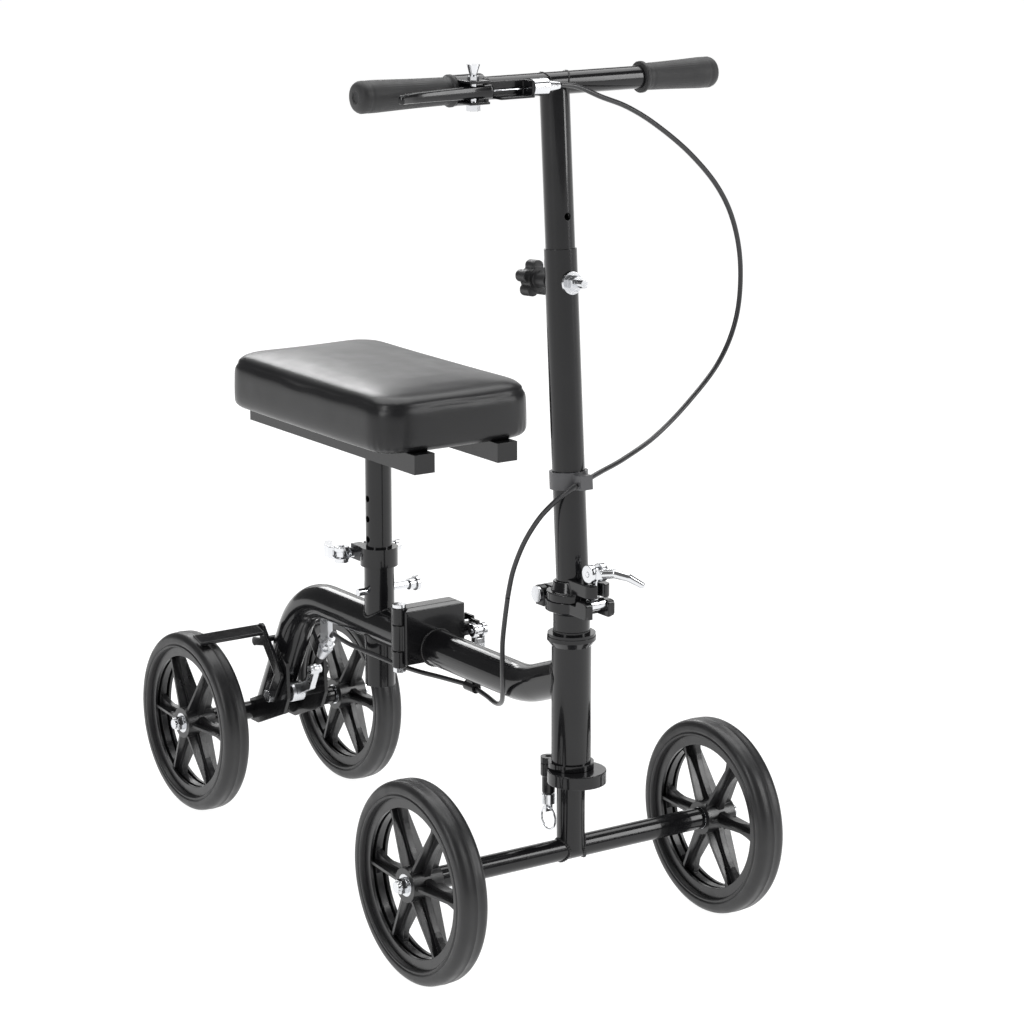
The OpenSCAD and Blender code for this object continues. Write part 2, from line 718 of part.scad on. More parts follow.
module front_hinge_plate() {
    mid0 = hinge_z0 + knuckle_end;
    mid1 = hinge_z1 - knuckle_end;
    prong = 4.2;
    prong_t = 4;
    color(black) difference() {
        union() {
            translate([front_plate_x0, hinge_y, plate_z0])
                cube([plate_t, plate_y1 - hinge_y, plate_z1 - plate_z0]);
            on_hinge(knuckle_r, mid0 + gap, mid1 - gap);
            // Prongs that carry the latch's cam
            translate([front_plate_x0, plate_y1 - 1, latch_z - 7])
                cube([plate_t, latch_y + prong + prong_t - plate_y1 + 1, 14]);
        }
        translate([front_plate_x0 - 1, latch_y - prong, latch_z - prong]) cube([plate_t + 2, 2 * prong, 20]);
        on_hinge(knuckle_r + 2 * gap, hinge_z0 - 1, mid0 + gap);
        on_hinge(knuckle_r + 2 * gap, mid1 - gap, hinge_z1 + 1);
        on_hinge(hinge_bolt_d / 2 + fit, hinge_z0, hinge_z1);
    }
}

module latch_bolt() {
    color(chrome) {
        translate([(latch_nut_x + latch_pin_x) / 2, latch_y, latch_z]) rod_x(3, latch_pin_x - latch_nut_x);
        translate([latch_nut_x, latch_y, latch_z]) rod_y(latch_nut_r, 11);
        translate([latch_pin_x, latch_y, latch_z]) rod_y(5.5, 6);
        translate([latch_pin_x, latch_y, latch_z]) rod_y(2.5, 19);
    }
}

module latch_lever() {
    color(chrome) translate([latch_pin_x, latch_y, latch_z]) rotate([90, 0, 0])
        cam_lever([[0, 0], [0, -17], [-3, -36], [-12, -54]], 7, 8.5, 2.5);
}

module cable_clip() {
    color(black) difference() {
        union() {
            translate([clip_x, 0, frame_z - frame_d / 2 - 7.5]) rod_x(5.5, 17);
            translate([clip_x, 0, frame_z - frame_d / 2 - 2]) block(11, 6, 11);
        }
        translate([clip_x, 0, frame_z]) rod_x(frame_d / 2, 60);
    }
}

// ---- fork ----

module fork_stem() {
    color(black) difference() {
        translate([front_x, 0, 0]) {
            translate([0, 0, axle_z]) cylinder(r = stem_low_d / 2, h = lock_plate_z0 - axle_z);
            translate([0, 0, axle_z]) cylinder(r = steerer_d / 2, h = joint_z - 15 - axle_z);
            translate([0, 0, neck_z0]) cylinder(r = neck_d / 2, h = joint_z - 15 - neck_z0);
        }
        translate([front_x, 0, axle_z + 16]) cylinder(r = steerer_d / 2 - 3, h = 400);
        translate([front_x, 0, axle_z]) rod_y(front_beam_d / 2, 100);
    }
}

module lock_plate() {
    barrel_h = 18;
    color(black) difference() {
        union() {
            translate([front_x + 10, 0, lock_plate_z0]) cylinder(r = 29, h = lock_plate_t);
            translate([lock_x, lock_y, lock_plate_z0]) cylinder(r = 8, h = lock_plate_t);
            translate([lock_x, lock_y, lock_plate_z0 - barrel_h]) cylinder(r = 6.5, h = barrel_h + 1);
        }
        translate([front_x, 0, 0]) cylinder(r = steerer_d / 2, h = 400);
        translate([lock_x, lock_y, 0]) cylinder(r = lock_pin_d / 2 + fit, h = 400);
    }
}

module steering_lock_pin() {
    color(chrome) translate([lock_x, lock_y, 0]) {
        translate([0, 0, lock_knob_z]) cylinder(r = lock_pin_d / 2, h = lock_plate_z1 - 0.7 - lock_knob_z);
        translate([0, 0, lock_knob_z]) cylinder(r = 7, h = 10);
        difference() {
            translate([0, 0, ring_hole_z]) block(3, 8, 9);
            translate([0, 0, ring_hole_z]) rod_x(2.2, 10);
        }
    }
}

module pull_ring() {
    color(chrome) translate([lock_x, lock_y, ring_hole_z - ring_r]) rotate([90, 0, 0])
        rotate_extrude($fn = 64) translate([ring_r, 0]) circle(1.2, $fn = 16);
}

module fold_yoke() {
    z0 = joint_z - 15;
    top = joint_z - gap;
    slot = 9;
    wing_y = 17;
    color(black) difference() {
        union() {
            translate([front_x, 0, z0]) cylinder(r1 = neck_d / 2, r2 = disc_r - 2, h = 5);
            translate([front_x, 0, z0 + 4]) cylinder(r = disc_r, h = top - z0 - 4);
            // Rear ears for the pivot pin
            for (s = [-1, 1]) translate([fold_x, s * (lug_half + gap + ear_t / 2), 0]) {
                translate([0, 0, fold_z]) rod_y(lug_r, ear_t);
                translate([2, 0, (z0 + 4 + fold_z) / 2]) block(2 * lug_r - 4, ear_t, fold_z - z0 - 4);
            }
            // Front wings either side of the barrel nut
            translate([(front_x + 14 + qr_x + 9) / 2, 0, z0 + 4]) linear_extrude(top - z0 - 4)
                round_rect(qr_x - 5 - front_x, 2 * wing_y, 7);
            for (s = [-1, 1]) translate([qr_x, s * (slot + wing_y) / 2, joint_z - 3]) rotate([90, 0, 0])
                linear_extrude(wing_y - slot, center = true) round_rect(17.4, 16.4, 4);
        }
        translate([qr_x - 8.5, -slot, z0]) cube([40, 2 * slot, 60]);
        translate([fold_x, 0, fold_z]) rod_y(lug_r + 2 * gap, 2 * lug_half + 2 * gap);
        translate([fold_x, 0, fold_z]) rod_y(fold_pin_r, 100);
    }
}

module fold_pin() {
    end = lug_half + gap + ear_t;
    color(chrome) translate([fold_x, 0, fold_z]) {
        rod_y(fold_pin_r, 2 * end + 4);
        translate([0, -end - 1.5, 0]) rod_y(8, 3);
        translate([0, end + 1.5, 0]) rotate([90, 0, 0]) cylinder(r = 7, h = 3, center = true, $fn = 6);
    }
}

// ---- column ----

module fold_saddle() {
    slot = 4.2;
    color(black) difference() {
        union() {
            translate([front_x + column_off, 0, joint_z]) cylinder(r = disc_r, h = disc_t);
            leaned() translate([0, 0, disc_t - 3]) cylinder(r1 = disc_r - 4, r2 = column_d / 2 + 3, h = 13);
            translate([fold_x, 0, fold_z]) rod_y(lug_r, 2 * lug_half);
            translate([fold_x, -lug_half, joint_z]) cube([20, 2 * lug_half, lug_r]);
            translate([(front_x + 6 + qr_x + 10) / 2, 0, prong_z0 - 1]) linear_extrude(prong_z1 - prong_z0 + 1)
                round_rect(qr_x + 4 - front_x, 27, 8);
        }
        leaned() translate([0, 0, disc_t + 1]) cylinder(r = column_d / 2, h = 100);
        translate([qr_x - 12, -slot, joint_z]) cube([40, 2 * slot, 60]);
        for (s = [-1, 1]) translate([fold_x, s * (lug_half + gap + ear_t / 2), fold_z])
            rod_y(lug_r + 2 * gap, ear_t + 2 * gap);
        translate([fold_x, 0, fold_z]) rod_y(fold_pin_r + fit, 100);
    }
}

module column_tube() {
    color(black) leaned() difference() {
        translate([0, 0, disc_t + 1]) tube_z(column_d / 2, stem_d / 2 + fit, column_top - disc_t - 1);
        translate([0, 0, knob_h]) rod_x(knob_bolt_d / 2, 100);
    }
}

module column_bolt() {
    r = column_d / 2;
    color(chrome) leaned() translate([0, 0, knob_h]) {
        translate([-6, 0, 0]) rod_x(knob_bolt_d / 2, 88);
        translate([r + 1.5, 0, 0]) rod_x(11, 3);
        translate([r + 7, 0, 0]) rotate([0, 90, 0]) cylinder(r = 7.5, h = 8, center = true, $fn = 6);
    }
}

module star_knob() {
    r = column_d / 2;
    color(rubber) leaned() translate([-r - 3, 0, knob_h]) rotate([0, -90, 0]) difference() {
        union() {
            cylinder(r = 8, h = 20);
            translate([0, 0, 18]) cylinder(r = 12, h = 16);
            for (k = [0 : 4]) rotate(72 * k) translate([12.5, 0, 18.6]) rotate(25) cylinder(r = 6, h = 14.8);
        }
        translate([0, 0, -1]) cylinder(r = knob_bolt_d / 2 + fit, h = 34);
    }
}

module cable_clamp() {
    h0 = 108;
    h = 17;
    r = column_d / 2;
    color("#4a4c50") leaned() difference() {
        union() {
            translate([0, 0, h0]) cylinder(r = r + 3, h = h);
            translate([r + 5, 0, h0 + 8]) block(18, 14, 14);
        }
        translate([0, 0, h0 - 1]) cylinder(r = r, h = h + 2);
    }
}

module swing_bolt() {
    color(chrome) {
        translate([qr_x, 0, swing_nut_z]) cylinder(r = 3, h = qr_z - swing_nut_z);
        translate([qr_x, 0, swing_nut_z]) rod_y(6, 17);
        translate([qr_x, 0, qr_z]) rod_y(5.5, 6);
        translate([qr_x, 0, qr_z]) rod_y(2.5, 20);
    }
}

module column_lever() {
    arm = [[10, 2, 1, 5], [22, 7, 3, 4.5], [31, 16, 0, 4], [37, 28, -8, 3.2]];
    color(chrome) translate([qr_x, 0, qr_z]) difference() {
        union() {
            rod_y(cam_r, 19);
            translate([6, 0, 1]) block(12, 14, 9);
            for (i = [0 : 2]) hull($fn = 24) for (p = [arm[i], arm[i + 1]])
                translate([p[0], p[1], p[2]]) sphere(p[3]);
        }
        rod_y(2.5 + fit, 40);
        rod_y(cam_r + 0.5, 6.8);
    }
}

// ---- handlebar ----

module handlebar() {
    color(black) leaned() difference() {
        union() {
            translate([0, 0, stem_end]) cylinder(r = stem_d / 2, h = bar_h - stem_end);
            translate([0, (bar_left - bar_right) / 2, bar_h]) rod_y(bar_d / 2, bar_left + bar_right);
        }
        translate([0, 0, stem_end - 1]) cylinder(r = stem_d / 2 - 2.3, h = bar_h - bar_d / 2 - stem_end);
        // Long slot in place of the hidden row of holes, so that the height can change
        for (z = [knob_h - stem_up, knob_h + stem_down])
            translate([0, 0, z]) rod_x(knob_bolt_d / 2 + 0.3, 60);
        translate([0, 0, knob_h + (stem_down - stem_up) / 2])
            block(60, knob_bolt_d + 0.6, stem_up + stem_down);
        translate([0, 0, stem_hole_h]) rod_x(3.6, 60);
        translate([0, (bar_left - bar_right) / 2, bar_h]) rod_y(bar_d / 2 - 1.8, bar_left + bar_right + 2);
    }
}

// One grip along Z: thick outer end at z = l, flange at z = 0
module grip(l) {
    r = grip_d / 2;
    rotate_extrude() {
        difference() {
            union() {
                polygon([[0, 0], [r - 2, 0], [r - 2, 8], [r - 1.2, l * 0.5], [r, l - 22], [r, l - 4], [r - 4, l], [0, l]]);
                square([r + 1.5, 4]);
            }
            translate([-1, -1]) square([bar_d / 2 + 1, l - 4]);
        }
    }
}

module hand_grips() {
    over = 5;
    color(rubber) translate([bar_x, 0, bar_z]) {
        translate([0, -bar_right - over + grip_len, 0]) rotate([90, 0, 0]) grip(grip_len);
        translate([0, bar_left + over - grip_left_len, 0]) rotate([-90, 0, 0]) grip(grip_left_len);
    }
}

module lever_bracket() {
    y0 = -bar_right - 5 + grip_len + 0.5;
    y1 = -84;
    plate_l = lever_x + 9;
    color(black) translate([bar_x, 0, bar_z]) difference() {
        union() {
            translate([0, (y0 + y1) / 2, 0]) rod_y(bar_d / 2 + 3.5, y1 - y0);
            for (z = [8.5, -11]) translate([0, lever_y - 9, z]) cube([plate_l, 22, 2.5]);
            translate([10, y1 - 4, -11]) cube([5, 4, 22]);
            // Channel that leads the inner wire to the adjuster
            translate([14, y1 - 4, -8]) cube([3, -44 - y1 + 4, 16]);
            translate([14, y1 - 4 + 6, -8]) cube([18, -44 - y1 - 2, 2.5]);
            translate([14, -47, -8]) cube([18, 3, 16]);
        }
        translate([0, (y0 + y1) / 2, 0]) rod_y(bar_d / 2, 200);
        translate([lever_x, lever_y, -30]) cylinder(r = 3, h = 60);
        translate([lever_x, -50, 0]) rod_y(2, 60);
    }
}

module lever_bolt() {
    color(chrome) translate([bar_x + lever_x, lever_y, bar_z]) {
        translate([0, 0, -15]) cylinder(r = 3, h = 34);
        translate([0, 0, 11]) cylinder(r = 5.5, h = 4, $fn = 6);
        translate([0, 0, 15]) cylinder(r1 = 3, r2 = 6.5, h = 11);
        translate([0, 0, -17]) cylinder(r = 6.5, h = 6, $fn = 6);
    }
}

module cable_ferrule() {
    color(chrome) translate([bar_x + lever_x + 2, 0, bar_z + 1]) {
        translate([0, -35.5, 0]) rod_y(8, 17);
        translate([0, -20.15, 0]) rotate([-90, 0, 0]) cylinder(r1 = 6, r2 = 3.5, h = 15.7, center = true);
    }
}

module brake_lever() {
    half = 6.5;
    blade = [[lever_x, -88], [lever_x, lever_y], [lever_x + 4, -150], [lever_x + 9, -177], [lever_x + 17, -195]];
    color(black) translate([bar_x, 0, bar_z]) difference() {
        linear_extrude(2 * half, center = true) strip(blade, 9);
        translate([lever_x, lever_y, -30]) cylinder(r = 3 + fit, h = 60);
    }
}

// ---- brake cable ----

module cable(pts) {
    color("#3a3a3c") swept_tube(pts, cable_d / 2, 8);
}
module cable_upper() { cable(cable_upper_pts); }
module cable_middle() { cable(cable_middle_pts); }
module cable_lower() { cable(cable_lower_pts); }
module cable_rear() { cable(cable_rear_pts); }

rear_tube();
seat_socket();
rear_hinge_plate();
frame_bolts();
rear_axle_beam();
rear_axle_bolts();
rear_bearings();
brake_bracket();
brake_bolts();
brake_adjuster();
seat_collar();
seat_clamp_lever();
seat_height_pin();
seat_post();
seat_bracket();
pad_board();
knee_pad();
rear_right_tyre();
rear_right_rim();
rear_left_tyre();
rear_left_rim();
brake_arms();
brake_actuator();
front_tube();
head_tube();
front_hinge_plate();
headset_cups();
cable_clip();
latch_bolt();
latch_lever();
fork_stem();
front_axle_beam();
lock_plate();
fold_yoke();
fold_pin();
front_axle_bolts();
front_bearings();
front_right_tyre();
front_right_rim();
front_left_tyre();
front_left_rim();
column_tube();
fold_saddle();
cable_clamp();
swing_bolt();
column_lever();
star_knob();
column_bolt();
handlebar();
hand_grips();
lever_bracket();
lever_bolt();
cable_ferrule();
brake_lever();
steering_lock_pin();
pull_ring();
cable_upper();
cable_middle();
cable_lower();
cable_rear();
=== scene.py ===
"""A folding knee scooter: the looks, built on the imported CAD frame. Lengths are in metres."""
import json
import math
import bpy
import numpy as np
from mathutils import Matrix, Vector


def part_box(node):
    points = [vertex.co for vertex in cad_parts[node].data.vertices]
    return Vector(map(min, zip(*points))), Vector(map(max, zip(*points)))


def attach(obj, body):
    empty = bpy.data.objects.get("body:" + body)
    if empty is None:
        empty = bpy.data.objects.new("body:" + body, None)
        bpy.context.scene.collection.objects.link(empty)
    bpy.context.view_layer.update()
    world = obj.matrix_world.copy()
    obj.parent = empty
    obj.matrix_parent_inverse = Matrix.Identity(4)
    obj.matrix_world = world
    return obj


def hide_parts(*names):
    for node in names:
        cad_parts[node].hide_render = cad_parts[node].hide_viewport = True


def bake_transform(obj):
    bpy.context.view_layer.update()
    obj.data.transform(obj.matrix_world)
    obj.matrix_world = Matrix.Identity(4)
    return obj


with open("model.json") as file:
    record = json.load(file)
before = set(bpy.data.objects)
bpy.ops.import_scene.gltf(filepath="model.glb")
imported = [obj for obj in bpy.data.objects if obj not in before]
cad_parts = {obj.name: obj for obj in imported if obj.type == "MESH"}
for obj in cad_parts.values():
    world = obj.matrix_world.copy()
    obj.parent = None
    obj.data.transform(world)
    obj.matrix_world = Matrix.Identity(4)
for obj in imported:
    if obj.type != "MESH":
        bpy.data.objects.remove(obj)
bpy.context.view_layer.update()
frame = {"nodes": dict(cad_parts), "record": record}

NODES = frame["nodes"]
BODY_OF = {n: b for b, names in frame["record"]["behaviour"]["bodies"].items() for n in names}
SLOT_OF = {s["node"]: s["material_slot"] for s in frame["record"]["subparts"]}
MM = 0.001
scene = bpy.context.scene

# ---- camera ----
camera = bpy.data.objects.new("camera", bpy.data.cameras.new("camera"))
camera.location = (2.81522, -1.79193, 1.18229)
LOOK_DOWN, HEADING = 13.48, 55.69  # degrees
camera.rotation_euler = (math.radians(90 - LOOK_DOWN), 0, math.radians(HEADING))
camera.data.lens = 116.1
camera.data.sensor_width = 36
scene.collection.objects.link(camera)
scene.camera = camera

# ---- the object's own measures, as in the CAD model ----
WHEEL_R = 0.100
TYRE_W = 0.030
TYRE_SEAT = 0.084
FRAME_Z = 0.249
FRAME_R = 0.019
FRONT_X = 0.292
AXLE_Z = 0.100
SEAT_X = -0.060
LEAN = math.radians(4)
COLUMN = Vector((0.2945, 0, 0.356))
UP = Vector((-math.sin(LEAN), 0, math.cos(LEAN)))
BAR = COLUMN + UP * 0.495
LEVER_X = 0.023


# ---- materials ----
def surface(name, base, shade, rough, metal=0.0, coat=0.0, coat_rough=0.08, specular=0.5,
            tone=18, grain=(700, 0.06, 0.0003), cells=None, brushed=None, edge=0.0007, sheen=0.0):
    """A procedural finish: two close tones, a varied roughness, a fine grain and softened edges."""
    m = bpy.data.materials.new(name)
    m.use_nodes = True
    nodes, links = m.node_tree.nodes, m.node_tree.links
    p = nodes["Principled BSDF"]
    p.inputs["Metallic"].default_value = metal
    p.inputs["Coat Weight"].default_value = coat
    p.inputs["Coat Roughness"].default_value = coat_rough
    p.inputs["Specular IOR Level"].default_value = specular
    p.inputs["Sheen Weight"].default_value = sheen
    where = nodes.new("ShaderNodeTexCoord").outputs["Object"]

    def noise(scale, detail=3.0, vector=where):
        n = nodes.new("ShaderNodeTexNoise")
        n.inputs["Scale"].default_value = scale
        n.inputs["Detail"].default_value = detail
        links.new(vector, n.inputs["Vector"])
        return n.outputs["Fac"]

    ramp = nodes.new("ShaderNodeValToRGB")
    ramp.color_ramp.elements[0].position = 0.35
    ramp.color_ramp.elements[0].color = (*shade, 1)
    ramp.color_ramp.elements[1].position = 0.65
    ramp.color_ramp.elements[1].color = (*base, 1)
    links.new(noise(tone, 4), ramp.inputs["Fac"])
    links.new(ramp.outputs["Color"], p.inputs["Base Color"])

    vector = where
    if brushed:
        stretch = nodes.new("ShaderNodeMapping")
        stretch.inputs["Scale"].default_value = brushed
        links.new(where, stretch.inputs["Vector"])
        vector = stretch.outputs["Vector"]
    span = nodes.new("ShaderNodeMapRange")
    span.inputs["From Min"].default_value = 0.3
    span.inputs["From Max"].default_value = 0.7
    span.inputs["To Min"].default_value = rough[0]
    span.inputs["To Max"].default_value = rough[1]
    links.new(noise(tone * 4, 5, vector), span.inputs["Value"])
    links.new(span.outputs["Result"], p.inputs["Roughness"])

    rounded = nodes.new("ShaderNodeBevel")
    rounded.samples = 4
    rounded.inputs["Radius"].default_value = edge
    scale, strength, height = grain
    bump = nodes.new("ShaderNodeBump")
    bump.inputs["Strength"].default_value = strength
    bump.inputs["Distance"].default_value = height
    links.new(noise(scale, 6, vector), bump.inputs["Height"])
    links.new(rounded.outputs["Normal"], bump.inputs["Normal"])
    normal = bump.outputs["Normal"]
    if cells:
        scale, strength, height = cells
        leather = nodes.new("ShaderNodeTexVoronoi")
        leather.feature = "DISTANCE_TO_EDGE"
        leather.inputs["Scale"].default_value = scale
        links.new(where, leather.inputs["Vector"])
        pebble = nodes.new("ShaderNodeBump")
        pebble.inputs["Strength"].default_value = strength
        pebble.inputs["Distance"].default_value = height
        links.new(leather.outputs["Distance"], pebble.inputs["Height"])
        links.new(normal, pebble.inputs["Normal"])
        normal = pebble.outputs["Normal"]
    links.new(normal, p.inputs["Normal"])
    return m


MATERIALS = {
    "frame_black": surface("powder coat", (0.010, 0.010, 0.011), (0.007, 0.007, 0.008), (0.16, 0.24), coat=0.45,
                           coat_rough=0.05, specular=0.22, grain=(420, 0.07, 0.0003)),
    "tyre": surface("tyre rubber", (0.017, 0.017, 0.018), (0.012, 0.012, 0.013), (0.34, 0.50), coat=0.12,
                    coat_rough=0.3, grain=(1400, 0.18, 0.0003), edge=0.0004),
    "rim": surface("moulded nylon", (0.014, 0.014, 0.015), (0.010, 0.010, 0.011), (0.26, 0.38), coat=0.25,
                   coat_rough=0.2, grain=(900, 0.12, 0.0003), edge=0.0012),
    "chrome": surface("chrome plate", (0.78, 0.79, 0.81), (0.70, 0.71, 0.73), (0.10, 0.22), metal=1.0,
                      grain=(500, 0.05, 0.0003), edge=0.0006),
    "alloy": surface("cast alloy", (0.72, 0.73, 0.75), (0.60, 0.61, 0.63), (0.22, 0.38), metal=1.0,
                     grain=(1100, 0.25, 0.0003), edge=0.0008),
    "grip": surface("grip rubber", (0.020, 0.020, 0.021), (0.014, 0.014, 0.015), (0.48, 0.62),
                    grain=(2200, 0.35, 0.0003), cells=(700, 0.15, 0.0003), sheen=0.15),
    "vinyl": surface("padded vinyl", (0.012, 0.012, 0.013), (0.008, 0.008, 0.009), (0.33, 0.40),
                     coat=0.20, specular=0.36,
                     coat_rough=0.28, tone=9, grain=(900, 0.10, 0.0002), cells=(620, 0.18, 0.0002)),
    "board": surface("plywood", (0.46, 0.31, 0.17), (0.34, 0.22, 0.12), (0.55, 0.75), tone=30,
                     brushed=(4, 40, 300), grain=(60, 0.3, 0.0004)),
    "knob": surface("moulded plastic", (0.020, 0.020, 0.021), (0.015, 0.015, 0.016), (0.36, 0.48),
                    grain=(1500, 0.25, 0.0003), edge=0.0012),
    "cable": surface("cable sleeve", (0.022, 0.022, 0.024), (0.016, 0.016, 0.018), (0.28, 0.40), coat=0.2,
                     coat_rough=0.2, grain=(1200, 0.1, 0.0002)),
    "clamp": surface("grey band", (0.085, 0.085, 0.09), (0.06, 0.06, 0.065), (0.34, 0.46), coat=0.15,
                     grain=(900, 0.15, 0.0003)),
}
for name, node in NODES.items():
    node.data.materials.clear()
    node.data.materials.append(MATERIALS[SLOT_OF[name]])


# ---- mesh helpers ----
def piece(name, verts, faces, slot, smooth=True):
    mesh = bpy.data.meshes.new(name)
    mesh.from_pydata([tuple(v) for v in verts], [], faces)
    mesh.validate()
    mesh.update()
    obj = bpy.data.objects.new(name, mesh)
    scene.collection.objects.link(obj)
    mesh.materials.append(MATERIALS[slot])
    if smooth:
        mesh.shade_smooth()
    return obj


def sharpen(obj, degrees=38):
    """Smooth shading with the edges sharper than this kept crisp."""
    obj.data.set_sharp_from_angle(angle=math.radians(degrees))


def side_axes(direction):
    d = Vector(direction).normalized()
    u = d.cross(Vector((0.31, 0.17, 0.93))).normalized()
    return d, u, d.cross(u)


def lathe(name, profile, centre, axis, slot, n=64, closed=False, flute=None):
    """A turned piece: profile is (radius, distance along the axis). flute(angle, along) scales the radius."""
    d, u, v = side_axes(axis)
    centre = Vector(centre)
    verts, faces = [], []
    for r, z in profile:
        for k in range(n):
            a = 2 * math.pi * k / n
            q = r * (flute(a, z) if flute else 1.0)
            verts.append(centre + d * z + (u * math.cos(a) + v * math.sin(a)) * q)
    rows = len(profile)
    for i in range(rows if closed else rows - 1):
        j = (i + 1) % rows
        for k in range(n):
            m = (k + 1) % n
            faces.append((i * n + k, i * n + m, j * n + m, j * n + k))
    if not closed:
        faces.append(tuple(reversed(range(n))))
        faces.append(tuple((rows - 1) * n + k for k in range(n)))
    return piece(name, verts, faces, slot)


def curve_through(points, per=8, closed=False):
    """A smooth line through the points."""
    p = [Vector(q) for q in points]
    out = []
    spans = len(p) if closed else len(p) - 1
    for i in range(spans):
        if closed:
            a, b, c, e = p[i - 1], p[i], p[(i + 1) % len(p)], p[(i + 2) % len(p)]
        else:
            a, b, c, e = p[max(i - 1, 0)], p[i], p[i + 1], p[min(i + 2, len(p) - 1)]
        for k in range(per):
            t = k / per
            out.append(0.5 * ((2 * b) + (c - a) * t + (2 * a - 5 * b + 4 * c - e) * t * t
                              + (3 * b - a - 3 * c + e) * t ** 3))
    if not closed:
        out.append(p[-1])
    return out


def sweep(name, path, radius, slot, n=14, closed=False, swell=None):
    """A round tube along a path; swell(i) scales its radius at point i."""
    count = len(path)
    first = (path[1] - path[0]).normalized()
    _, u, _ = side_axes(first)
    verts, faces = [], []
    for i, c in enumerate(path):
        if closed:
            t = (path[(i + 1) % count] - path[i - 1]).normalized()
        else:
            t = (path[min(i + 1, count - 1)] - path[max(i - 1, 0)]).normalized()
        u = (u - t * u.dot(t)).normalized()
        v = t.cross(u)
        r = radius * (swell(i) if swell else 1.0)
        for k in range(n):
            a = 2 * math.pi * k / n
            verts.append(c + (u * math.cos(a) + v * math.sin(a)) * r)
    for i in range(count if closed else count - 1):
        j = (i + 1) % count
        for k in range(n):
            m = (k + 1) % n
            faces.append((i * n + k, i * n + m, j * n + m, j * n + k))
    if not closed:
        faces.append(tuple(reversed(range(n))))
        faces.append(tuple((count - 1) * n + k for k in range(n)))
    return piece(name, verts, faces, slot)


def baked(obj):
    """Applies the object's modifiers."""
    graph = bpy.context.evaluated_depsgraph_get()
    mesh = bpy.data.meshes.new_from_object(obj.evaluated_get(graph))
    old = obj.data
    obj.modifiers.clear()
    obj.data = mesh
    bpy.data.meshes.remove(old)


# ---- cast and moulded parts, with their edges rounded ----
def soften(node, voxel, keep=0.4, passes=3):
    """Replaces a CAD node with a copy of itself whose edges are rounded."""
    obj = NODES[node].copy()
    obj.data = NODES[node].data.copy()
    obj.name = node + "_rounded"
    for key in list(obj.keys()):
        del obj[key]
    obj.parent = None
    scene.collection.objects.link(obj)
    step = obj.modifiers.new("remesh", "REMESH")
    step.mode = "VOXEL"
    step.voxel_size = voxel
    step = obj.modifiers.new("smooth", "SMOOTH")
    step.factor = 0.5
    step.iterations = passes
    step = obj.modifiers.new("decimate", "DECIMATE")
    step.ratio = keep
    baked(obj)
    obj.data.materials.clear()
    obj.data.materials.append(MATERIALS[SLOT_OF[node]])
    obj.data.shade_smooth()
    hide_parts(node)
    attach(obj, BODY_OF[node])
    return obj


for node, voxel in (("star_knob", 0.5), ("column_lever", 0.45), ("latch_lever", 0.45), ("seat_clamp_lever", 0.45),
                    ("fold_yoke", 0.6), ("fold_saddle", 0.6), ("brake_actuator", 0.5),
                    ("lever_bracket", 0.5), ("rear_hinge_plate", 0.7), ("front_hinge_plate", 0.7),
                    ("lock_plate", 0.6), ("brake_arms", 0.6)):
    soften(node, voxel * MM)


# ---- tyres: solid rubber with a parting line and side rings ----
def tyre_profile():
    half, shoulder = TYRE_W / 2, 0.008
    right = [(TYRE_SEAT, half - 0.0012), (TYRE_SEAT + 0.0008, half - 0.0002), (0.0858, half + 0.0002),
             (0.0868, half), (0.0872, half - 0.0008), (0.0880, half - 0.0008), (0.0884, half), (0.0905, half)]
    for k in range(1, 13):
        a = math.pi / 2 * k / 12
        right.append((WHEEL_R - shoulder + shoulder * math.sin(a), half - shoulder + shoulder * math.cos(a)))
    crown = [(WHEEL_R + 0.0001, 0.0045), (WHEEL_R + 0.0001, 0.0007), (WHEEL_R + 0.0004, 0.0003)]
    side = right + crown
    return side + [(r, -z) for r, z in reversed(side)]


for wheel in ("rear_right", "rear_left", "front_right", "front_left"):
    low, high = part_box(wheel + "_tyre")
    tyre = lathe(wheel + "_solid_tyre", tyre_profile(), (Vector(low) + Vector(high)) / 2, (0, 1, 0), "tyre",
                 n=144, closed=True)
    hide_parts(wheel + "_tyre")
    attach(tyre, wheel + "_wheel")


# ---- grips: tapered rubber with an inner flange, flutes and end rings ----
def grip(name, inner, length, side):
    r = 0.015
    profile = [(0.0112, 0), (r - 0.0004, 0.0002), (r + 0.0002, 0.0008), (r + 0.0002, 0.0034), (r - 0.0004, 0.0042),
               (r - 0.0018, 0.0050)]
    z = 0.006
    while z < length - 0.004:
        along = z / length
        radius = r - 0.0020 + 0.0020 * min(1, max(0, (along - 0.05) / 0.75)) ** 1.5
        ring = 0.008 < z < 0.013 or length - 0.012 < z < length - 0.009
        groove = 0.0004 if ring and int(z / 0.0015) % 2 == 0 else 0
        profile.append((radius - groove, z))
        z += 0.0015
    profile += [(r - 0.0008, length - 0.0030), (r - 0.0020, length - 0.0012), (r - 0.0040, length - 0.0001),
                (0.0060, length), (0.0052, length - 0.0012), (0.001, length - 0.0014)]

    def flute(a, z):
        fade = min(1, max(0, (z - 0.024) / 0.004)) * min(1, max(0, (length - 0.024 - z) / 0.004))
        return 1 - 0.010 * fade * max(0.0, math.cos(40 * a)) ** 2

    return lathe(name, profile, (BAR.x, inner, BAR.z), (0, side, 0), "grip", n=160, flute=flute)


grip_low, grip_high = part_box("hand_grips")
right_grip = grip("right_grip", grip_low[1] + 0.104, 0.104, -1)
left_grip = grip("left_grip", grip_high[1] - 0.088, 0.088, 1)
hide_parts("hand_grips")
for g in (right_grip, left_grip):
    sharpen(g, 50)
    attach(g, "handle")


